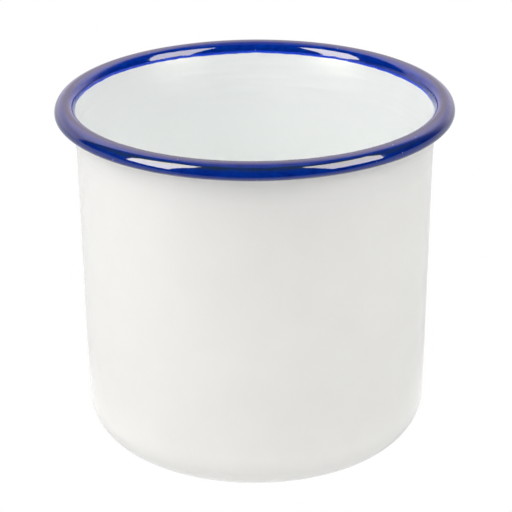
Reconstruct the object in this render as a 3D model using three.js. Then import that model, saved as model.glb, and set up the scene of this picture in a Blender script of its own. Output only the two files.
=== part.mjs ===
// Handleless enamelled cup: one drawn steel pressing with a rolled rim, fired all over with a thin
// dark ground coat, then a white cover coat, then a blue edging coat over the rolled rim.
// Millimetres, +Z up, standing on z = 0 with its axis on Z.
//
// Every layer follows one sheet centreline, drawn as a half section in (r, z). The "inner" side of the
// sheet is the inside of the cup. Past the crest of the rim that same side becomes the outside of the
// roll. The "outer" side is the outside of the wall and the underside of the base.
import * as THREE from "three";

// Finished outside dimensions, over the enamel.
const RIM_DIAMETER = 90;
const HEIGHT = 81.2;
const WALL_RADIUS_AT_BASE = 39.03;
const WALL_TAPER = 0.0177;
const CORNER_RADIUS = 10.2;
const ROLL_CREST_RADIUS = 42.5;
// The roll is widest this far below its crest, and reaches this far below that again.
const ROLL_RISE = 2.5;
const ROLL_DROP = 1.6;
// How far the roll reaches in from its crest, towards the wall.
const ROLL_REACH = 2.2;
// The wall leans out this much, in degrees, where it meets the roll.
const FLARE_ANGLE = 12;

// Raised centre of the base, which leaves a flat ring to stand on.
const PANEL_RADIUS = 20;
const PANEL_STEP_WIDTH = 2.4;
const PANEL_LIFT = 0.8;

// Where the roll stops short of the wall, in degrees round the roll.
const LIP_END_ANGLE = -112;
// Where two coats stop, each given by how far the wall leans out there, in degrees. The enamel on the
// outside of the wall ends in the mouth of the roll, and the blue edging ends inside the cup.
const OUTER_COAT_END_LEAN = 10.8;
const EDGING_START_LEAN = 11.3;

// Sheet and fired coats.
const STEEL_THICKNESS = 0.6;
const GROUND_THICKNESS = 0.1;
const WHITE_THICKNESS = 0.15;
const BLUE_THICKNESS = 0.15;

// Facets.
const SIDES = 40;
const CORNER_STEPS = 5;
const ROLL_STEP_ANGLE = 30;
const FLARE_LEANS = [4, 7.5];

// Distances from the centreline to each face of each layer.
const STEEL_FACE = STEEL_THICKNESS / 2;
const GROUND_FACE = STEEL_FACE + GROUND_THICKNESS;
const WHITE_FACE = GROUND_FACE + WHITE_THICKNESS;
const BLUE_FACE = WHITE_FACE + BLUE_THICKNESS;

const TAPER_ANGLE = Math.atan(WALL_TAPER);

// A station is a point of the centreline with the unit normal that points to the inner side.
const station = (r, z, normalR, normalZ) => ({
  point: new THREE.Vector2(r, z),
  normal: new THREE.Vector2(normalR, normalZ).normalize(),
});

// Stations on an ellipse through the given angles. towardsInner is 1 where the inner side of the sheet
// faces away from the ellipse's centre, and -1 where it faces the centre.
function ellipseStations(centre, radiusR, radiusZ, angles, towardsInner) {
  return angles.map((degrees) => {
    const angle = THREE.MathUtils.degToRad(degrees);
    const cos = Math.cos(angle);
    const sin = Math.sin(angle);
    return station(
      centre.x + radiusR * cos,
      centre.y + radiusZ * sin,
      (towardsInner * cos) / radiusR,
      (towardsInner * sin) / radiusZ,
    );
  });
}

// Evenly spaced angles from start to end, both included.
function angleRange(start, end, steps) {
  return Array.from({ length: steps + 1 }, (_, i) => start + ((end - start) * i) / steps);
}

// Base: raised panel, sloping step, then the flat ring that the cup stands on.
const baseZ = WHITE_FACE;
const stepNormalR = Math.sin(Math.atan2(PANEL_LIFT, PANEL_STEP_WIDTH) / 2);
const stepNormalZ = Math.sqrt(1 - stepNormalR ** 2);
const baseStations = [
  station(0, baseZ + PANEL_LIFT, 0, 1),
  station(PANEL_RADIUS, baseZ + PANEL_LIFT, stepNormalR, stepNormalZ),
  station(PANEL_RADIUS + PANEL_STEP_WIDTH, baseZ, stepNormalR, stepNormalZ),
];

// Corner: a round arc from the flat ring up to the tapered wall.
const cornerCentre = new THREE.Vector2(
  WALL_RADIUS_AT_BASE + WALL_TAPER * CORNER_RADIUS - CORNER_RADIUS / Math.cos(TAPER_ANGLE),
  CORNER_RADIUS,
);
const cornerLineRadius = CORNER_RADIUS - WHITE_FACE;
const cornerEnd = -THREE.MathUtils.radToDeg(TAPER_ANGLE);
const cornerStations = ellipseStations(
  cornerCentre,
  cornerLineRadius,
  cornerLineRadius,
  angleRange(-90, cornerEnd, CORNER_STEPS),
  -1,
);

// Roll: the centreline climbs over the crest, round the outside and back under to the lip, on quarter
// ellipses that share one centre.
const rollCentre = new THREE.Vector2(ROLL_CREST_RADIUS, HEIGHT - ROLL_RISE);
const rollReach = ROLL_REACH - BLUE_FACE;
const rollRise = ROLL_RISE - BLUE_FACE;
const rollDrop = ROLL_DROP - BLUE_FACE;
const rollWidth = RIM_DIAMETER / 2 - BLUE_FACE - ROLL_CREST_RADIUS;
const flareAngle = THREE.MathUtils.degToRad(FLARE_ANGLE);
const rollStart = 180 - THREE.MathUtils.radToDeg(Math.atan((Math.tan(flareAngle) * rollRise) / rollReach));
const upperSteps = 90 / ROLL_STEP_ANGLE;
const innerRoll = ellipseStations(rollCentre, rollReach, rollRise, [rollStart, 140, 115, 90], 1);
const outerRoll = ellipseStations(
  rollCentre,
  rollWidth,
  rollRise,
  angleRange(90, 0, upperSteps).slice(1),
  1,
);
const underRoll = ellipseStations(
  rollCentre,
  rollWidth,
  rollDrop,
  [...angleRange(0, -90, upperSteps).slice(1), LIP_END_ANGLE],
  1,
);

// Flare: one arc, tangent to the tapered wall below and to the roll above.
const wallLineAtBase = WALL_RADIUS_AT_BASE - WHITE_FACE / Math.cos(TAPER_ANGLE);
const flareTop = innerRoll[0].point;
const flareRadius =
  (flareTop.x - wallLineAtBase - WALL_TAPER * flareTop.y) /
  (Math.cos(TAPER_ANGLE) -
    Math.cos(flareAngle) -
    WALL_TAPER * (Math.sin(flareAngle) - Math.sin(TAPER_ANGLE)));

function flareStation(lean) {
  return station(
    flareTop.x - flareRadius * (Math.cos(lean) - Math.cos(flareAngle)),
    flareTop.y - flareRadius * (Math.sin(flareAngle) - Math.sin(lean)),
    -Math.cos(lean),
    Math.sin(lean),
  );
}

const outerCoatEnd = flareStation(THREE.MathUtils.degToRad(OUTER_COAT_END_LEAN));
const edgingStart = flareStation(THREE.MathUtils.degToRad(EDGING_START_LEAN));
const flareStations = [
  flareStation(TAPER_ANGLE),
  ...FLARE_LEANS.map((lean) => flareStation(THREE.MathUtils.degToRad(lean))),
  outerCoatEnd,
  edgingStart,
];

const wholeSheet = [
  ...baseStations,
  ...cornerStations,
  ...flareStations,
  ...innerRoll,
  ...outerRoll,
  ...underRoll,
];
const outsideOfWall = wholeSheet.slice(0, wholeSheet.indexOf(outerCoatEnd) + 1);
const roll = wholeSheet.slice(wholeSheet.indexOf(edgingStart));

// A layer is the ring of material between two distances from the centreline, over a run of stations.
// Positive distances lie on the inner side. The profile closes on itself, or starts and ends on the axis.
function layerGeometry(stations, innerDistance, outerDistance) {
  const offset = ({ point, normal }, distance) => point.clone().addScaledVector(normal, distance);
  const profile = [
    ...stations.map((each) => offset(each, outerDistance)),
    ...stations.map((each) => offset(each, innerDistance)).reverse(),
  ];
  const startsOnAxis = stations[0].point.x === 0;
  if (!startsOnAxis) {
    profile.push(profile[0].clone());
  }
  const lathe = new THREE.LatheGeometry(profile, SIDES);
  // LatheGeometry turns its profile about Y, so the turned solid is stood up onto Z.
  lathe.rotateX(Math.PI / 2);
  return lathe;
}

const enamel = (color, roughness) => new THREE.MeshStandardMaterial({ color, roughness, metalness: 0 });
const steel = new THREE.MeshStandardMaterial({ color: 0x8f9396, roughness: 0.45, metalness: 1 });
const groundEnamel = enamel(0x14161c, 0.25);
const whiteEnamel = enamel(0xf2f1ee, 0.15);
const blueEnamel = enamel(0x0a2a8c, 0.12);

const layers = [
  ["steel_shell", wholeSheet, STEEL_FACE, -STEEL_FACE, steel],
  ["ground_coat_inner", wholeSheet, GROUND_FACE, STEEL_FACE, groundEnamel],
  ["white_coat_inner", wholeSheet, WHITE_FACE, GROUND_FACE, whiteEnamel],
  ["blue_rim_coat", roll, BLUE_FACE, WHITE_FACE, blueEnamel],
  ["ground_coat_outer", outsideOfWall, -STEEL_FACE, -GROUND_FACE, groundEnamel],
  ["white_coat_outer", outsideOfWall, -GROUND_FACE, -WHITE_FACE, whiteEnamel],
];

const cup = new THREE.Group();
for (const [name, stations, innerDistance, outerDistance, material] of layers) {
  const mesh = new THREE.Mesh(layerGeometry(stations, innerDistance, outerDistance), material);
  mesh.name = name;
  cup.add(mesh);
}

export default cup;
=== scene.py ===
"""Looks of the enamelled cup: fine surfaces, fired enamel, a pale floor and soft studio light."""

import math

import bpy
import numpy as np
from mathutils import Matrix, Vector


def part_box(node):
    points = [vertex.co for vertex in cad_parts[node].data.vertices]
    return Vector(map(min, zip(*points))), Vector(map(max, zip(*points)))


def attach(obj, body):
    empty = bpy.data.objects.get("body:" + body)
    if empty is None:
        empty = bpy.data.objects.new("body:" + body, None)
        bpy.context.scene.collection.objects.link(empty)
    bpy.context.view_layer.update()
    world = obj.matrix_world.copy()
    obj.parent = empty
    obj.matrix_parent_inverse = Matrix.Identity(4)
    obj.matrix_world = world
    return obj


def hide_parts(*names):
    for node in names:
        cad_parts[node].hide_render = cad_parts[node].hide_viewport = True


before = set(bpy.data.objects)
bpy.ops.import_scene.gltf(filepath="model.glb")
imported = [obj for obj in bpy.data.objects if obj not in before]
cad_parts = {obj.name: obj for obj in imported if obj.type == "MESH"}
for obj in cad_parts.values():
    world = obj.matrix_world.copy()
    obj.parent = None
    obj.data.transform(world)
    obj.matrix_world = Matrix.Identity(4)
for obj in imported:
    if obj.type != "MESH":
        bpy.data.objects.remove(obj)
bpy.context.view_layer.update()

MM = 0.001

# ---------------------------------------------------------------- sizes from the frame
rim_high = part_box("blue_rim_coat")[1]
RIM_RADIUS = rim_high.x
HEIGHT = rim_high.z
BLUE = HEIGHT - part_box("white_coat_inner")[1].z
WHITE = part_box("ground_coat_outer")[0].z
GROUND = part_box("steel_shell")[0].z - WHITE
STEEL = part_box("ground_coat_inner")[0].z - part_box("steel_shell")[0].z

# Distances from the middle of the steel sheet to each face of each layer.
STEEL_FACE = STEEL / 2
GROUND_FACE = STEEL_FACE + GROUND
WHITE_FACE = GROUND_FACE + WHITE
BLUE_FACE = WHITE_FACE + BLUE

# The section's other driving sizes, as the CAD source states them.
WALL_RADIUS_AT_BASE = 39.03 * MM
WALL_TAPER = 0.0177
CORNER_RADIUS = 10.2 * MM
ROLL_CREST_RADIUS = 42.5 * MM
ROLL_RISE = 2.5 * MM
ROLL_DROP = 1.6 * MM
ROLL_REACH = 2.2 * MM
FLARE_ANGLE = math.radians(12)
PANEL_RADIUS = 20 * MM
PANEL_STEP_WIDTH = 2.4 * MM
PANEL_LIFT = 0.8 * MM
LIP_END_ANGLE = -112
OUTER_COAT_END_LEAN = math.radians(10.8)
EDGING_START_LEAN = math.radians(11.3)

# The blue edging's hand-made line and its rounded edge.
EDGE_TILT = 0.24 * MM
EDGE_WANDER = 0.10 * MM
EDGE_TEETH = 0.045 * MM
EDGE_ROUNDING = 0.6 * MM
EDGE_COLOUR_WIDTH = 0.8 * MM
THINNEST_BLUE = 0.004 * MM

# Where painted shade darkens the blue (crest, underside of the roll, outer sides) and where a painted
# reflection of the dark room blackens it, by the way that the surface faces on the section:
# 0 degrees is outwards, 90 is up and 180 is in. FRONT and SIDE are shares of the radius, from the cup's axis.
CREST_SHADE_HALF_WIDTH = 10
CREST_SHADE_FADE = 34
UNDER_TURN = -18
UNDER_FADE = 14
UNDER_ROLL_SHADE = 0.5
DARK_REFLECTION_TURN = 40
DARK_REFLECTION_WIDTH_ABOVE = 9
DARK_REFLECTION_WIDTH_BELOW = 14
DARK_REFLECTION_AWAY_FROM_FRONT = 0.15
FRONT_START = 0.45
FRONT_FADE = 0.4
SIDE_START = 0.6
SIDE_FADE = 0.35
SIDE_TURN = 35
SIDE_HALF_WIDTH = 55
SIDE_SHADE = 0.55

# Depth of the long shallow waves in the fired surfaces.
ROLL_WANDER = 0.015 * MM
WALL_WANDER = 0.035 * MM
WANDER_FADE = 6 * MM

# Fineness of the turned surfaces.
SIDES = 256
HIDDEN_SIDES = 128
WALL_STEPS = 28
CORNER_STEPS = 16
FLARE_STEPS = 24
INNER_ROLL_STEPS = 24
OUTER_ROLL_STEPS = 20
UNDER_ROLL_STEPS = 24
FLOOR_STEPS = 8
BLUE_SIDES = 384
BLUE_STEPS = 72
SHARP_EDGE = math.radians(50)


# ---------------------------------------------------------------- the section of the sheet
def ellipse(centre_r, centre_z, radius_r, radius_z, start, end, steps, towards_inner):
    """Rows of r, z and the unit normal to the inner side, on an ellipse between two angles."""
    angle = np.radians(np.linspace(start, end, steps + 1))
    cos, sin = np.cos(angle), np.sin(angle)
    normal = towards_inner * np.stack([cos / radius_r, sin / radius_z], 1)
    normal /= np.linalg.norm(normal, axis=1, keepdims=True)
    point = np.stack([centre_r + radius_r * cos, centre_z + radius_z * sin], 1)
    return np.hstack([point, normal])


def smooth_step(t):
    return t * t * (3 - 2 * t)


def base_section():
    """The raised middle of the base, its soft step, and the flat ring outside it."""
    z = WHITE_FACE
    middle = [[r, z + PANEL_LIFT, 0, 1] for r in np.linspace(0, PANEL_RADIUS, FLOOR_STEPS + 1)]
    step = []
    for t in np.linspace(0, 1, FLOOR_STEPS + 1)[1:]:
        slope = PANEL_LIFT / PANEL_STEP_WIDTH * 6 * t * (1 - t)
        normal = Vector((slope, 1)).normalized()
        r = PANEL_RADIUS + PANEL_STEP_WIDTH * t
        step.append([r, z + PANEL_LIFT * (1 - smooth_step(t)), normal.x, normal.y])
    return np.array(middle + step)


def corner_section(taper_angle):
    """The round corner from the ring that the cup stands on up to the wall."""
    centre_r = WALL_RADIUS_AT_BASE + WALL_TAPER * CORNER_RADIUS - CORNER_RADIUS / math.cos(taper_angle)
    radius = CORNER_RADIUS - WHITE_FACE
    return ellipse(
        centre_r, CORNER_RADIUS, radius, radius, -90, -math.degrees(taper_angle), CORNER_STEPS, -1,
    )


def roll_sections():
    """The roll's three quarters: from the wall up to the crest, down the outside, and under to the lip."""
    centre = ROLL_CREST_RADIUS, HEIGHT - ROLL_RISE
    reach, rise, drop = ROLL_REACH - BLUE_FACE, ROLL_RISE - BLUE_FACE, ROLL_DROP - BLUE_FACE
    width = RIM_RADIUS - BLUE_FACE - ROLL_CREST_RADIUS
    start = 180 - math.degrees(math.atan(math.tan(FLARE_ANGLE) * rise / reach))
    inner = ellipse(*centre, reach, rise, start, 90, INNER_ROLL_STEPS, 1)
    outer = ellipse(*centre, width, rise, 90, 0, OUTER_ROLL_STEPS, 1)
    under = ellipse(*centre, width, drop, 0, LIP_END_ANGLE, UNDER_ROLL_STEPS, 1)
    return inner, outer, under


def flare_section(taper_angle, top_r, top_z):
    """The arc on which the wall leans out under the roll, tangent to both."""
    wall_r = WALL_RADIUS_AT_BASE - WHITE_FACE / math.cos(taper_angle)
    turn_r = math.cos(taper_angle) - math.cos(FLARE_ANGLE)
    turn_z = math.sin(FLARE_ANGLE) - math.sin(taper_angle)
    radius = (top_r - wall_r - WALL_TAPER * top_z) / (turn_r - WALL_TAPER * turn_z)
    lean = np.linspace(taper_angle, FLARE_ANGLE, FLARE_STEPS + 1)
    r = top_r - radius * (np.cos(lean) - math.cos(FLARE_ANGLE))
    z = top_z - radius * (math.sin(FLARE_ANGLE) - np.sin(lean))
    return np.stack([r, z, -np.cos(lean), np.sin(lean)], 1)


def straight_wall(lower, upper):
    """Rows between two given rows, without either."""
    share = np.linspace(0, 1, WALL_STEPS + 1)[1:-1, None]
    wall = lower * (1 - share) + upper * share
    wall[:, 2:] /= np.linalg.norm(wall[:, 2:], axis=1, keepdims=True)
    return wall


def sheet_section():
    """The whole centreline of the sheet, from the middle of the base to the lip of the roll."""
    taper_angle = math.atan(WALL_TAPER)
    corner = corner_section(taper_angle)
    inner, outer, under = roll_sections()
    flare = flare_section(taper_angle, *inner[0, :2])
    wall = straight_wall(corner[-1], flare[0])
    return np.vstack([base_section(), corner, wall, flare, inner[1:], outer[1:], under[1:]])


SHEET = sheet_section()
RUN = np.concatenate([[0], np.cumsum(np.linalg.norm(np.diff(SHEET[:, :2], axis=0), axis=1))])


def run_at_lean(lean):
    """How far along the sheet's section the flare leans out this much."""
    last = len(SHEET) - UNDER_ROLL_STEPS - OUTER_ROLL_STEPS - INNER_ROLL_STEPS
    first = last - FLARE_STEPS - 1
    leans = np.arctan2(SHEET[first:last, 3], -SHEET[first:last, 2])
    return float(np.interp(lean, leans, RUN[first:last]))


def sheet_at(run):
    """The section's rows at any distances along it."""
    rows = np.stack([np.interp(run, RUN, SHEET[:, i]) for i in range(4)], -1)
    rows[..., 2:] /= np.linalg.norm(rows[..., 2:], axis=-1, keepdims=True)
    return rows


# ---------------------------------------------------------------- surfaces
def waves(seed, angle, height, sizes, strength):
    """A smooth irregular field over the turned surface.

    sizes are the lowest and highest number of waves a turn.
    """
    rng = np.random.default_rng(seed)
    field = np.zeros(np.broadcast(angle, height).shape)
    for count in range(sizes[0], sizes[1] + 1):
        drift = rng.uniform(-1, 1) * 60 + rng.uniform(0, 90)
        phase = rng.uniform(0, 2 * math.pi)
        weight = rng.uniform(0.4, 1) / math.sqrt(sizes[1] - sizes[0] + 1)
        field += weight * np.sin(count * angle + drift * height / (2 * RIM_RADIUS) + phase)
    return field * strength


def turned_grid(rows, distance, angle):
    """Points at a distance from the section's line, turned to each angle.

    rows and distance are (angle, run).
    """
    radius = rows[..., 0] + rows[..., 2] * distance
    z = rows[..., 1] + rows[..., 3] * distance
    radius = np.where(rows[..., 0] < 1e-9, 0, radius)
    return np.stack([radius * np.cos(angle), radius * np.sin(angle), z], -1)


def skin_mesh(name, front, back, on_axis):
    """A closed skin between two grids of points.

    Where the run starts on the axis, each face closes there to one point.
    """
    turns, steps = front.shape[:2]
    grids = []
    points = []
    count = 0
    for grid in (front, back):
        index = np.arange(turns * steps).reshape(turns, steps)
        if on_axis:
            index = np.arange(turns * (steps - 1)).reshape(turns, steps - 1) + 1
            index = np.hstack([np.zeros((turns, 1), int), index])
            points.append(np.vstack([grid[0, :1], grid[:, 1:].reshape(-1, 3)]))
        else:
            points.append(grid.reshape(-1, 3))
        grids.append(index + count)
        count += len(points[-1])
    faces = []
    for side, index in enumerate(grids):
        around = np.roll(index, -1, axis=0)
        quads = np.stack([index[:, :-1], index[:, 1:], around[:, 1:], around[:, :-1]], -1).reshape(-1, 4)
        if side == 1:
            quads = quads[:, ::-1]
        faces += [tuple(dict.fromkeys(q)) for q in quads.tolist()]
    ends = [-1] if on_axis else [0, -1]
    for end in ends:
        a, b = grids[0][:, end], grids[1][:, end]
        quads = np.stack([a, b, np.roll(b, -1), np.roll(a, -1)], -1)
        if end == 0:
            quads = quads[:, ::-1]
        faces += [tuple(q) for q in quads.tolist()]
    mesh = bpy.data.meshes.new(name)
    mesh.from_pydata(np.vstack(points).tolist(), [], faces)
    mesh.validate()
    return mesh


def add_piece(name, mesh, node, material):
    """Puts a finished mesh in the scene in place of its CAD node."""
    piece = bpy.data.objects.new(name, mesh)
    bpy.context.scene.collection.objects.link(piece)
    mesh.materials.append(material)
    mesh.shade_smooth()
    mesh.set_sharp_from_angle(angle=SHARP_EDGE)
    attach(piece, "root")
    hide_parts(node)
    return piece


def turned_layer(name, run, front_face, back_face, sides, relief=None):
    """A layer of even section. relief(angle, height) is added to its front face."""
    angle = np.linspace(0, 2 * math.pi, sides, endpoint=False)[:, None]
    rows = np.broadcast_to(sheet_at(run), (sides, len(run), 4))
    front_distance = np.full(rows.shape[:2], front_face)
    if relief is not None:
        front_distance = front_distance + relief(angle, rows)
    front = turned_grid(rows, front_distance, angle)
    back = turned_grid(rows, np.full(rows.shape[:2], back_face), angle)
    if front_face < back_face:
        return skin_mesh(name, back, front, run[0] == 0)
    return skin_mesh(name, front, back, run[0] == 0)


# ---------------------------------------------------------------- materials
class Nodes:
    """Short calls for building a shader."""

    def __init__(self, name):
        self.material = bpy.data.materials.new(name)
        self.material.use_nodes = True
        self.tree = self.material.node_tree
        self.shader = next(n for n in self.tree.nodes if n.type == "BSDF_PRINCIPLED")
        self.place = self.tree.nodes.new("ShaderNodeTexCoord").outputs["Object"]

    def add(self, kind, **values):
        node = self.tree.nodes.new(kind)
        for key, value in values.items():
            if isinstance(getattr(node, key, None), (str, bool)):
                setattr(node, key, value)
            else:
                node.inputs[key.replace("_", " ")].default_value = value
        return node

    def link(self, output, target):
        self.tree.links.new(output, target)

    def noise(self, size, detail=2.0, roughness=0.5):
        """Noise whose features are about this size, in metres."""
        node = self.add("ShaderNodeTexNoise", Scale=1 / size, Detail=detail, Roughness=roughness)
        self.link(self.place, node.inputs["Vector"])
        return node.outputs["Fac"]

    def level_streaks(self, size, flatness, detail=2.0):
        """Noise whose features are this high and run level for several times as far."""
        node = self.add("ShaderNodeTexNoise", Scale=1 / (size * flatness), Detail=detail)
        stretch = self.add("ShaderNodeVectorMath", operation="MULTIPLY")
        stretch.inputs[1].default_value = (1, 1, flatness)
        self.link(self.place, stretch.inputs[0])
        self.link(stretch.outputs[0], node.inputs["Vector"])
        return node.outputs["Fac"]

    def ramp(self, value, stops):
        """Maps a value through (position, value) stops and gives a number."""
        node = self.add("ShaderNodeValToRGB")
        elements = node.color_ramp.elements
        while len(elements) < len(stops):
            elements.new(0.5)
        for element, (position, level) in zip(elements, stops):
            element.position = position
            element.color = (level, level, level, 1) if not hasattr(level, "__len__") else (*level, 1)
        self.link(value, node.inputs["Fac"])
        return node.outputs["Color"]

    def mix(self, factor, a, b, blend="MIX"):
        node = self.tree.nodes.new("ShaderNodeMix")
        node.data_type = "RGBA"
        node.blend_type = blend
        for socket, value in ((node.inputs[0], factor), (node.inputs[6], a), (node.inputs[7], b)):
            if isinstance(value, bpy.types.NodeSocket):
                self.link(value, socket)
            else:
                socket.default_value = value if socket.type == "VALUE" else (*value, 1)
        return node.outputs[2]

    def math(self, operation, a, b):
        node = self.tree.nodes.new("ShaderNodeMath")
        node.operation = operation
        for socket, value in zip(node.inputs, (a, b)):
            if isinstance(value, bpy.types.NodeSocket):
                self.link(value, socket)
            else:
                socket.default_value = value
        return node.outputs[0]

    def dots(self, spacing, radius, keep, rim=0.5):
        """1 in small round dots and 0 elsewhere. keep is the share of the cells that hold a dot."""
        cells = self.add("ShaderNodeTexVoronoi", Scale=1 / spacing)
        self.link(self.place, cells.inputs["Vector"])
        dot = self.ramp(cells.outputs["Distance"], [(radius / spacing * rim, 1), (radius / spacing, 0)])
        split = self.add("ShaderNodeSeparateColor")
        self.link(cells.outputs["Color"], split.inputs[0])
        chosen = self.math("LESS_THAN", split.outputs[0], keep)
        return self.math("MULTIPLY", dot, chosen)

    def bump(self, height, distance, below=None):
        """A bump whose height runs from 0 to 1 over this distance, in metres."""
        node = self.add("ShaderNodeBump", Strength=1.0, Distance=distance)
        self.link(height, node.inputs["Height"])
        if below is not None:
            self.link(below, node.inputs["Normal"])
        return node.outputs["Normal"]


def white_enamel(name, light, shade, roughness):
    """Fired white enamel: slightly uneven tint, faint orange peel, pinholes and specks."""
    n = Nodes(name)
    tint = n.mix(n.ramp(n.noise(9 * MM, 4), [(0.3, 0), (0.7, 1)]), shade, light)
    specks = n.dots(8 * MM, 0.13 * MM, 0.25)
    fine = n.dots(1.0 * MM, 0.09 * MM, 0.3)
    tint = n.mix(n.math("MULTIPLY", specks, 0.22), tint, (0.42, 0.37, 0.31))
    tint = n.mix(n.math("MULTIPLY", fine, 0.1), tint, (0.5, 0.46, 0.4))
    n.link(tint, n.shader.inputs["Base Color"])
    n.link(n.ramp(n.noise(4 * MM, 3), [(0.3, roughness - 0.02), (0.7, roughness + 0.02)]),
           n.shader.inputs["Roughness"])
    peel = n.bump(n.noise(2.2 * MM, 2), 0.012 * MM)
    n.link(n.bump(n.math("SUBTRACT", 1.0, specks), 0.002 * MM, below=peel), n.shader.inputs["Normal"])
    n.shader.inputs["IOR"].default_value = 1.5
    return n.material


def blue_enamel(name):
    """Fired cobalt enamel, bright at its thin edge, with painted shade on the crest, under and beside the
    roll, and a near-black painted reflection of the dark room on its upper outer flank.
    """
    n = Nodes(name)
    depth = n.add("ShaderNodeAttribute", attribute_name="glaze_depth").outputs["Fac"]
    painted_shade = n.add("ShaderNodeAttribute", attribute_name="painted_shade").outputs["Fac"]
    dark_reflection = n.add("ShaderNodeAttribute", attribute_name="dark_reflection").outputs["Fac"]
    cloud = n.ramp(n.noise(1.6 * MM, 4), [(0.3, 0), (0.75, 0.5)])
    streaks = n.ramp(n.level_streaks(0.35 * MM, 6, 3), [(0.35, 0), (0.65, 0.28)])
    body = n.mix(n.math("ADD", cloud, streaks), (0.0005, 0.013, 0.19), (0.001, 0.04, 0.34))
    edge = n.ramp(depth, [
        (0.0, (0.06, 0.22, 0.80)), (0.12, (0.003, 0.06, 0.78)),
        (0.6, (0.001, 0.04, 0.64)), (0.95, (0.0005, 0.022, 0.32)),
    ])
    colour = n.mix(n.ramp(depth, [(0.7, 0), (1.0, 1)]), edge, body)
    # Painted shade: near-black blue over the crest, under the roll and on its outer sides at left and right.
    colour = n.mix(painted_shade, colour, (0.0005, 0.001, 0.062))
    # Painted reflection of the dark room in front: a streaked, greenish near-black band.
    dark = n.math("MULTIPLY", dark_reflection, n.ramp(n.level_streaks(0.3 * MM, 8, 3), [(0.3, 0.55), (0.6, 1)]))
    colour = n.mix(dark, colour, (0.013, 0.027, 0.045))
    bubbles = n.dots(1.1 * MM, 0.07 * MM, 0.16)
    colour = n.mix(n.math("MULTIPLY", bubbles, 0.35), colour, (0.10, 0.16, 0.5))
    bare_grains = n.dots(1.8 * MM, 0.14 * MM, 0.45)
    colour = n.mix(n.math("MULTIPLY", bare_grains, 0.55), colour, (0.45, 0.5, 0.6))
    n.link(colour, n.shader.inputs["Base Color"])
    n.link(n.ramp(n.noise(3 * MM, 3), [(0.3, 0.045), (0.7, 0.075)]), n.shader.inputs["Roughness"])
    ripple = n.bump(n.noise(1.8 * MM, 2), 0.01 * MM)
    n.link(n.bump(n.math("SUBTRACT", 1.0, bubbles), 0.012 * MM, below=ripple), n.shader.inputs["Normal"])
    n.shader.inputs["IOR"].default_value = 1.52
    return n.material


def ground_enamel(name):
    """The dark first coat: blue-black glass, a little uneven."""
    n = Nodes(name)
    colour = n.mix(n.noise(3 * MM, 4), (0.006, 0.008, 0.014), (0.02, 0.024, 0.034))
    n.link(colour, n.shader.inputs["Base Color"])
    n.link(n.ramp(n.noise(1.5 * MM, 3), [(0.3, 0.2), (0.7, 0.32)]), n.shader.inputs["Roughness"])
    n.link(n.bump(n.noise(1.2 * MM, 3), 0.02 * MM), n.shader.inputs["Normal"])
    return n.material


def pressed_steel(name):
    """Pickled low-carbon steel: grey, dull, with a fine etched grain."""
    n = Nodes(name)
    n.link(n.mix(n.noise(2 * MM, 5), (0.2, 0.2, 0.205), (0.34, 0.34, 0.35)), n.shader.inputs["Base Color"])
    n.link(n.ramp(n.noise(0.6 * MM, 4), [(0.3, 0.38), (0.7, 0.55)]), n.shader.inputs["Roughness"])
    n.link(n.bump(n.noise(0.25 * MM, 3), 0.006 * MM), n.shader.inputs["Normal"])
    n.shader.inputs["Metallic"].default_value = 1.0
    return n.material


# ---------------------------------------------------------------- pieces
RUN_LIP = RUN[-1]
RUN_OUTER_END = run_at_lean(OUTER_COAT_END_LEAN)
RUN_EDGING = run_at_lean(EDGING_START_LEAN)

outer_run = np.append(RUN[RUN < RUN_OUTER_END - 1e-6], RUN_OUTER_END)


def wall_waves(seed, angle, rows):
    """The wall isn't perfectly round: the press and the fired glass leave long shallow waves."""
    height = rows[..., 1]
    fade = np.clip(height / CORNER_RADIUS, 0, 1) * np.clip((HEIGHT - height) / WANDER_FADE, 0, 1)
    return waves(seed, angle, height * 6, (2, 9), WALL_WANDER) * smooth_step(fade)


def wall_relief(angle, rows):
    return -wall_waves(11, angle, rows)


def inside_relief(angle, rows):
    return wall_waves(12, angle, rows)


def blue_rim():
    """The dipped blue edging, from a hand-made line inside the cup to the lip of the roll."""
    angle = np.linspace(0, 2 * math.pi, BLUE_SIDES, endpoint=False)[:, None]
    start = (
        RUN_EDGING
        - EDGE_TILT * np.cos(angle)
        + waves(21, angle, 0, (3, 14), EDGE_WANDER)
        + waves(22, angle, 0, (20, 90), EDGE_TEETH)
    )
    share = np.linspace(0, 1, BLUE_STEPS + 1)[None, :] ** 1.6
    run = start + (RUN_LIP - start) * share
    rows = sheet_at(run)
    past_edge = run - start
    rounding = np.clip(past_edge / EDGE_ROUNDING, 0, 1)
    thickness = BLUE * np.sin(rounding * math.pi / 2)
    swell = waves(23, angle, rows[..., 1] * 4, (3, 16), ROLL_WANDER) * rounding
    front = turned_grid(rows, WHITE_FACE + np.maximum(thickness + np.minimum(swell, 0), THINNEST_BLUE), angle)
    back = turned_grid(rows, np.full(rows.shape[:2], WHITE_FACE), angle)
    mesh = skin_mesh("blue_rim_enamel", front, back, False)
    add_glaze_attributes(mesh, angle, np.clip(past_edge / EDGE_COLOUR_WIDTH, 0, 1), rows)
    return mesh


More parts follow.
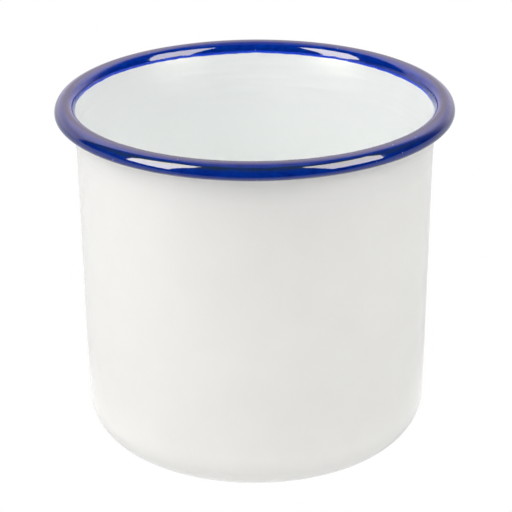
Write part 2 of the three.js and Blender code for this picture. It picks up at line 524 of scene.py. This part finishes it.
def add_glaze_attributes(mesh, angle, depth, rows):
    """Stores how deep the blue is near its edge, and where painted shade and a painted reflection of the dark
    room darken it, for its colour.
    """
    turn = np.degrees(np.arctan2(rows[..., 3], rows[..., 2]))
    # Painted shade along the crest and under the roll.
    on_crest = np.clip(1 - (np.abs(turn - 90) - CREST_SHADE_HALF_WIDTH) / CREST_SHADE_FADE, 0, 1)
    underneath = UNDER_ROLL_SHADE * np.clip((UNDER_TURN - turn) / UNDER_FADE, 0, 1)
    # Painted reflection of the dark room: a band round 40 degrees up the outer flank, strongest at the front.
    dark_reflection_width = np.where(turn > DARK_REFLECTION_TURN, DARK_REFLECTION_WIDTH_ABOVE, DARK_REFLECTION_WIDTH_BELOW)
    dark_reflection = np.exp(-(((turn - DARK_REFLECTION_TURN) / dark_reflection_width) ** 2))
    front = smooth_step(np.clip((-np.sin(angle) - FRONT_START) / FRONT_FADE, 0, 1))
    dark_reflection = dark_reflection * (DARK_REFLECTION_AWAY_FROM_FRONT + (1 - DARK_REFLECTION_AWAY_FROM_FRONT) * front)
    # Painted shade on the roll's outer flank towards the left and right sides.
    at_sides = smooth_step(np.clip((np.abs(np.cos(angle)) - SIDE_START) / SIDE_FADE, 0, 1))
    beside = SIDE_SHADE * at_sides * (np.abs(turn - SIDE_TURN) < SIDE_HALF_WIDTH)
    painted_shade = np.maximum(on_crest + underneath, beside)
    values = (("glaze_depth", depth), ("painted_shade", painted_shade), ("dark_reflection", dark_reflection))
    for name, level in values:
        attribute = mesh.attributes.new(name, "FLOAT", "POINT")
        attribute.data.foreach_set("value", np.tile(level.ravel(), 2).astype(np.float32))


steel = pressed_steel("pressed_steel")
ground = ground_enamel("ground_enamel")
# Two copies of one white enamel: the inside copy is tinted cooler and greener than the outside one, as
# painted light for the cooler light inside the cup.
outside_white = white_enamel("white_enamel_outside", (0.885, 0.878, 0.852), (0.87, 0.862, 0.834), 0.25)
inside_white_painted_cool = white_enamel("white_enamel_inside", (0.859, 0.877, 0.866), (0.846, 0.864, 0.853), 0.24)
blue = blue_enamel("blue_enamel")

add_piece(
    "pressed_steel_sheet",
    turned_layer("pressed_steel_sheet", RUN, STEEL_FACE, -STEEL_FACE, HIDDEN_SIDES),
    "steel_shell", steel,
)
add_piece(
    "ground_enamel_inside",
    turned_layer("ground_enamel_inside", RUN, GROUND_FACE, STEEL_FACE, HIDDEN_SIDES),
    "ground_coat_inner", ground,
)
add_piece(
    "ground_enamel_outside",
    turned_layer("ground_enamel_outside", outer_run, -GROUND_FACE, -STEEL_FACE, HIDDEN_SIDES),
    "ground_coat_outer", ground,
)
add_piece(
    "white_enamel_inside",
    turned_layer("white_enamel_inside", RUN, WHITE_FACE, GROUND_FACE, SIDES, inside_relief),
    "white_coat_inner", inside_white_painted_cool,
)
add_piece(
    "white_enamel_outside",
    turned_layer("white_enamel_outside", outer_run, -WHITE_FACE, -GROUND_FACE, SIDES, wall_relief),
    "white_coat_outer", outside_white,
)
add_piece("blue_rim_enamel", blue_rim(), "blue_rim_coat", blue)


# ---------------------------------------------------------------- stage
FLOOR_HALF = 3.0
FLOOR_GLOW = 0.425
FLOOR_GLOW_COLOUR = (0.972, 0.98, 1.0)
FLOOR_GLOW_UNDER_CUP = 0.9
FLOOR_SHADE_START = 0.035
FLOOR_SHADE_END = 0.075
WHITE_SHEET_LIFT = 0.02 * MM

# The table in the gloss: dark in front, and round the cup a glow for each distance from the cup's axis.
TABLE_LIFT = 0.1 * MM
TABLE_DARK_Y = -0.15
TABLE_BRIGHT_Y = -0.11
TABLE_SHADOW_RADIUS = 0.038
TABLE_NEAR_RADIUS = 0.048
TABLE_FAR_RADIUS = 0.065
TABLE_SHADOW_GLOW = 1.1
TABLE_NEAR_GLOW = 1.9
TABLE_FAR_GLOW = 0.85
TABLE_FRONT_END_Y = -0.034
TABLE_BESIDE_Y = -0.012
TABLE_BESIDE_SHADOW_GLOW = 0.8
TABLE_BESIDE_NEAR_GLOW = 1.3

LIGHT_AIM = Vector((0, 0, HEIGHT * 0.6))
LIGHT_DISTANCE = 0.9
LIGHT_SIZE = 0.45
SOFTBOX_COLOUR = (1.0, 0.93, 0.79)
WORLD_STRENGTH = 0.005
ROOM_GLOW = 2.6
ROOM_COLOUR = (1.0, 0.9, 0.95)
ROOM_RADIUS = 2.8
BACKDROP_RADIUS = 2.9
DOME_LOWEST = -2


def add_stage(name, mesh, material):
    item = bpy.data.objects.new(name, mesh)
    bpy.context.scene.collection.objects.link(item)
    mesh.materials.append(material)
    return item


def polygon_mesh(name, corners):
    mesh = bpy.data.meshes.new(name)
    mesh.from_pydata([tuple(c) for c in corners], [], [tuple(range(len(corners)))])
    return mesh


def glow_material(name, strength, colour=(1, 1, 1)):
    material = bpy.data.materials.new(name)
    material.use_nodes = True
    tree = material.node_tree
    tree.nodes.clear()
    emission = tree.nodes.new("ShaderNodeEmission")
    emission.inputs["Color"].default_value = (*colour, 1)
    emission.inputs["Strength"].default_value = strength
    output = tree.nodes.new("ShaderNodeOutputMaterial")
    tree.links.new(emission.outputs[0], output.inputs[0])
    return material


def only_in_reflections(item):
    item.visible_camera = False
    item.visible_diffuse = False
    item.visible_shadow = False
    item.visible_transmission = False


def only_seen_directly(item):
    item.visible_diffuse = False
    item.visible_glossy = False
    item.visible_shadow = False
    item.visible_transmission = False


def pale_floor():
    """A white table that lights the cup from below. Its glow is a lamp for the cup, dimmed near the cup's
    axis as a painted shadow.
    """
    n = Nodes("pale_floor")
    n.shader.inputs["Roughness"].default_value = 0.9
    n.shader.inputs["Specular IOR Level"].default_value = 0.1
    n.shader.inputs["Base Color"].default_value = (0.4, 0.4, 0.4, 1)
    n.shader.inputs["Emission Color"].default_value = (*FLOOR_GLOW_COLOUR, 1)
    length = n.add("ShaderNodeVectorMath", operation="LENGTH")
    n.link(n.place, length.inputs[0])
    shaded = n.ramp(length.outputs["Value"], [
        (FLOOR_SHADE_START, FLOOR_GLOW_UNDER_CUP), (FLOOR_SHADE_END, 1.0),
    ])
    n.link(n.math("MULTIPLY", shaded, FLOOR_GLOW), n.shader.inputs["Emission Strength"])
    h = FLOOR_HALF
    mesh = polygon_mesh("floor", [(-h, -h, 0), (h, -h, 0), (h, h, 0), (-h, h, 0)])
    floor = add_stage("floor", mesh, n.material)
    floor.visible_glossy = False


def white_sheet():
    """The overexposed white of the table as the camera sees it: no light, and in no reflection."""
    h = FLOOR_HALF
    lift = WHITE_SHEET_LIFT
    mesh = polygon_mesh("white_sheet", [(-h, -h, lift), (h, -h, lift), (h, h, lift), (-h, h, lift)])
    only_seen_directly(add_stage("white_sheet", mesh, glow_material("white_sheet", 1.0)))


pale_floor()
white_sheet()


def table_in_reflections():
    """What the gloss sees of the table: brightest close in front of the cup, and dark further in front."""
    n = Nodes("table_glow")
    split = n.add("ShaderNodeSeparateXYZ")
    n.link(n.place, split.inputs[0])
    ahead = n.add("ShaderNodeMapRange")
    n.link(split.outputs["Y"], ahead.inputs["Value"])
    ahead.inputs["From Min"].default_value = TABLE_DARK_Y
    ahead.inputs["From Max"].default_value = TABLE_BRIGHT_Y
    length = n.add("ShaderNodeVectorMath", operation="LENGTH")
    n.link(n.place, length.inputs[0])
    near = n.ramp(length.outputs["Value"], [
        (TABLE_SHADOW_RADIUS, TABLE_SHADOW_GLOW), (TABLE_NEAR_RADIUS, TABLE_NEAR_GLOW),
        (TABLE_FAR_RADIUS, TABLE_FAR_GLOW),
    ])
    near_beside = n.ramp(length.outputs["Value"], [
        (TABLE_SHADOW_RADIUS, TABLE_BESIDE_SHADOW_GLOW), (TABLE_NEAR_RADIUS, TABLE_BESIDE_NEAR_GLOW),
        (TABLE_FAR_RADIUS, TABLE_FAR_GLOW),
    ])
    beside = n.add("ShaderNodeMapRange")
    n.link(split.outputs["Y"], beside.inputs["Value"])
    beside.inputs["From Min"].default_value = TABLE_FRONT_END_Y
    beside.inputs["From Max"].default_value = TABLE_BESIDE_Y
    near = n.mix(beside.outputs[0], near, near_beside)
    n.shader.inputs["Base Color"].default_value = (0, 0, 0, 1)
    n.shader.inputs["Specular IOR Level"].default_value = 0
    n.shader.inputs["Emission Color"].default_value = (1, 1, 1, 1)
    n.link(n.math("MULTIPLY", ahead.outputs[0], near), n.shader.inputs["Emission Strength"])
    h = FLOOR_HALF
    lift = TABLE_LIFT
    corners = [(-h, TABLE_DARK_Y, lift), (h, TABLE_DARK_Y, lift), (h, h, lift), (-h, h, lift)]
    name = "table_in_reflections"
    only_in_reflections(add_stage(name, polygon_mesh(name, corners), n.material))


table_in_reflections()


# ---------------------------------------------------------------- light
def direction(azimuth, elevation):
    """Azimuth 0 points from the cup to the camera's side and grows to the right; degrees."""
    a, e = math.radians(azimuth), math.radians(elevation)
    return Vector((math.sin(a) * math.cos(e), -math.cos(a) * math.cos(e), math.sin(e)))


def softbox(name, corners, strength):
    """A bright panel that the glaze reflects, from the directions of its corners."""
    points = [LIGHT_AIM + direction(a, e) * LIGHT_DISTANCE for a, e in corners]
    glow = glow_material(name + "_glow", strength, SOFTBOX_COLOUR)
    only_in_reflections(add_stage(name, polygon_mesh(name, points), glow))


def area_light(name, azimuth, elevation, power):
    """A soft light for the matt part of the shading; the gloss doesn't see it."""
    data = bpy.data.lights.new(name, "AREA")
    data.shape = "RECTANGLE"
    data.size = data.size_y = LIGHT_SIZE
    data.energy = power
    light = bpy.data.objects.new(name, data)
    bpy.context.scene.collection.objects.link(light)
    towards = direction(azimuth, elevation)
    light.location = LIGHT_AIM + towards * LIGHT_DISTANCE
    light.rotation_mode = "QUATERNION"
    light.rotation_quaternion = (-towards).to_track_quat("-Z", "Y")
    light.visible_glossy = False
    light.visible_camera = False


LEFT_SOFTBOX = [(-73, 7), (-47, -1), (-43, 22), (-37, 42), (-38, 52), (-58, 52), (-75, 40)]
RIGHT_SOFTBOX = [(42, 5), (72, 6), (75, 25), (84, 49), (58, 51), (32, 50), (31, 42), (37, 22)]
softbox("left_softbox", LEFT_SOFTBOX, 16.0)
softbox("right_softbox", RIGHT_SOFTBOX, 12.0)
area_light("left_key", -55, 40, 2.37)
area_light("left_side", -80, 40, 1.9)
area_light("left_high", -90, 65, 1.51)
area_light("left_low", -30, 12, 0.8)
area_light("front", 0, 40, 0.62)
area_light("right_key", 55, 40, 2.63)
area_light("right_side", 105, 40, 0.67)
area_light("right_high", 90, 65, 1.79)
area_light("behind", 180, 65, 4.41)


def studio_world():
    """The room's even light, for the matt part of the shading only."""
    world = bpy.data.worlds.new("studio")
    bpy.context.scene.world = world
    world.use_nodes = True
    background = world.node_tree.nodes["Background"]
    background.inputs["Color"].default_value = (1, 1, 1, 1)
    background.inputs["Strength"].default_value = WORLD_STRENGTH
    world.cycles_visibility.camera = False
    world.cycles_visibility.glossy = False


studio_world()


def dome_mesh(name, radius, lowest, turns=48, rows=12):
    """A dome round the cup, open below this lowest elevation in degrees."""
    points = []
    for row in range(rows):
        elevation = lowest + (90 - lowest) * row / rows
        points += [direction(360 * turn / turns, elevation) * radius for turn in range(turns)]
    points.append(Vector((0, 0, radius)))
    faces = []
    for row in range(rows - 1):
        for turn in range(turns):
            a, b = row * turns + turn, row * turns + (turn + 1) % turns
            faces.append((a, b, b + turns, a + turns))
    top = len(points) - 1
    last = (rows - 1) * turns
    faces += [(last + turn, last + (turn + 1) % turns, top) for turn in range(turns)]
    mesh = bpy.data.meshes.new(name)
    mesh.from_pydata([tuple(p) for p in points], [], faces)
    return mesh


def studio_backdrop():
    """The white surround that the camera sees past the floor's edge."""
    mesh = dome_mesh("backdrop", BACKDROP_RADIUS, DOME_LOWEST)
    only_seen_directly(add_stage("backdrop", mesh, glow_material("backdrop_glow", 1.0)))


def studio_in_reflections():
    """What the gloss sees of the room: a bright wall behind the cup, a dim ceiling, and dark in front."""
    n = Nodes("room_glow")
    unit = n.add("ShaderNodeVectorMath", operation="NORMALIZE")
    n.link(n.place, unit.inputs[0])
    split = n.add("ShaderNodeSeparateXYZ")
    n.link(unit.outputs[0], split.inputs[0])
    turns = n.math("DIVIDE", n.math("ARCTAN2", split.outputs["X"], split.outputs["Y"]), 2 * math.pi)
    behind = n.ramp(n.math("ADD", turns, 0.5), [
        (0.308, 0.0), (0.322, 1.0), (0.611, 1.0), (0.667, 0.1), (0.7, 0.0),
    ])
    up = n.math("MAXIMUM", split.outputs["Z"], 0.0)
    wall = n.ramp(up, [
        (0.36, 0.48), (0.5, 0.74), (0.64, 0.95), (0.72, 1.0),
        (0.86, 1.0), (0.956, 0.6), (0.987, 0.36), (0.999, 0.2),
    ])
    ceiling = n.ramp(up, [(0.93, 0.0), (0.945, 0.2), (1.0, 0.22)])
    glow = n.math("MAXIMUM", n.math("MULTIPLY", behind, wall), ceiling)
    n.shader.inputs["Base Color"].default_value = (0, 0, 0, 1)
    n.shader.inputs["Specular IOR Level"].default_value = 0
    n.shader.inputs["Emission Color"].default_value = (*ROOM_COLOUR, 1)
    n.link(n.math("MULTIPLY", glow, ROOM_GLOW), n.shader.inputs["Emission Strength"])
    name = "room_in_reflections"
    only_in_reflections(add_stage(name, dome_mesh(name, ROOM_RADIUS, DOME_LOWEST), n.material))


studio_backdrop()
studio_in_reflections()

# ---------------------------------------------------------------- camera
CAMERA_DISTANCE = 0.5299
CAMERA_ELEVATION = 22.596
CAMERA_ROLL = -0.335
CAMERA_LENS = 161.16
CAMERA_TARGET = Vector((0.0001, 0, 0.04229))


def add_camera():
    data = bpy.data.cameras.new("camera")
    data.sensor_width = 36
    data.lens = CAMERA_LENS
    camera = bpy.data.objects.new("camera", data)
    bpy.context.scene.collection.objects.link(camera)
    back = direction(0, CAMERA_ELEVATION)
    camera.location = CAMERA_TARGET + back * CAMERA_DISTANCE
    turn = (-back).to_track_quat("-Z", "Y").to_matrix().to_4x4()
    roll = Matrix.Rotation(math.radians(CAMERA_ROLL), 4, "Z")
    camera.rotation_euler = (turn @ roll).to_euler()
    bpy.context.scene.camera = camera


add_camera()
bpy.context.scene.view_settings.view_transform = "Standard"
